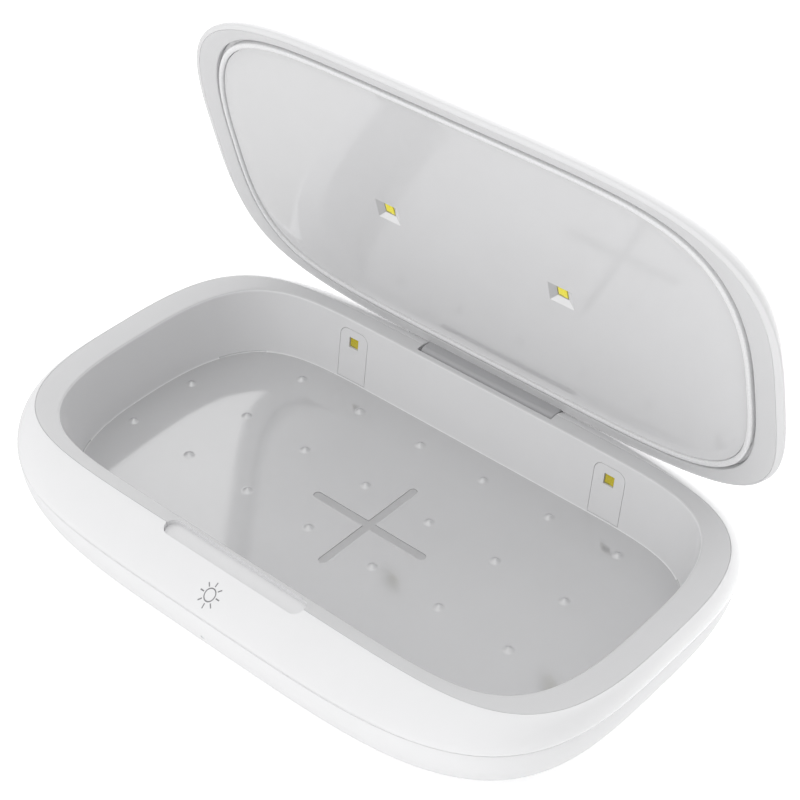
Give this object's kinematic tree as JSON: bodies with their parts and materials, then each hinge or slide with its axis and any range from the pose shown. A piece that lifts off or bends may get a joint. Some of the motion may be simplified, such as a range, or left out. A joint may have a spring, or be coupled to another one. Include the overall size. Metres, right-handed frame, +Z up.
{
  "type": "ultraviolet sanitizer box",
  "caption": "Hinged-lid ultraviolet sanitizer box with a rounded casing, a grey tub with a charging floor, square lamps in the lid and back wall, and a touch key.",
  "frame": {"origin": "centre of the footprint, on the table under the four rubber feet; the lid is open at rest", "axes": "+X along the long side of the box, +Y towards the hinge, +Z up"},
  "size_m": [0.2216, 0.1426, 0.1447],
  "materials": {
    "satin_white": "satin moulded",
    "gloss_white": "high gloss moulded",
    "tub_grey": "semi-matt moulded",
    "mark_grey": "matt",
    "ink_grey": "pad printed",
    "lamp_yellow": "phosphor under clear resin",
    "board_white": "white solder mask",
    "copper_wire": "enamelled copper",
    "ferrite": "sintered",
    "board_green": "green solder mask",
    "socket_steel": "plated",
    "chip_black": "moulded",
    "plug_white": "moulded",
    "foam_grey": "conductive foam",
    "clear_plastic": "clear polycarbonate",
    "wire_black": "silicone sleeve",
    "screw_steel": "zinc plated",
    "foot_rubber": "matt rubber",
    "frame_grey": "satin moulded",
    "seal_grey": "soft bead",
    "reflector_grey": "glossy panel",
    "magnet_steel": "nickel plated",
    "block_grey": "satin moulded",
    "pin_steel": "ground steel"
  },
  "bodies": {
    "base": {"lower_shell": "satin_white", "upper_casing": "gloss_white", "tub": "tub_grey", "charge_mark": "mark_grey", "key_symbol": "ink_grey", "lamp_cover_left": "tub_grey", "lamp_cover_right": "tub_grey", "wall_lamp_left": "lamp_yellow", "wall_lamp_right": "lamp_yellow", "wall_lamp_board_left": "board_white", "wall_lamp_board_right": "board_white", "charging_coil": "copper_wire", "ferrite_sheet": "ferrite", "main_board": "board_green", "usb_socket": "socket_steel", "control_chip": "chip_black", "driver_chip": "chip_black", "power_inductor": "ferrite", "board_plug": "plug_white", "base_ribbon": "plug_white", "front_board": "board_green", "touch_plug": "foam_grey", "lid_sensor": "chip_black", "indicator_lamp": "plug_white", "light_pipe": "clear_plastic", "hinge_wire": "wire_black", "shell_screws": "screw_steel", "rubber_feet": "foot_rubber"},
    "lid": {"lid_shell": "gloss_white", "lid_frame": "frame_grey", "lid_seal": "seal_grey", "reflector": "reflector_grey", "lid_lamp_left": "lamp_yellow", "lid_lamp_right": "lamp_yellow", "lid_lamp_board": "board_white", "lid_magnet": "magnet_steel", "hinge_block": "block_grey", "hinge_pin": "pin_steel", "hinge_tube": "pin_steel", "block_screws": "screw_steel", "lid_wire": "wire_black"}
  },
  "joints": [
    {"name": "lid_hinge", "type": "hinge", "parent": "base", "child": "lid", "pos_m": [0, 0.0565, 0.032], "axis": [1, 0, 0], "range_deg": [0, 75.2]}
  ]
}
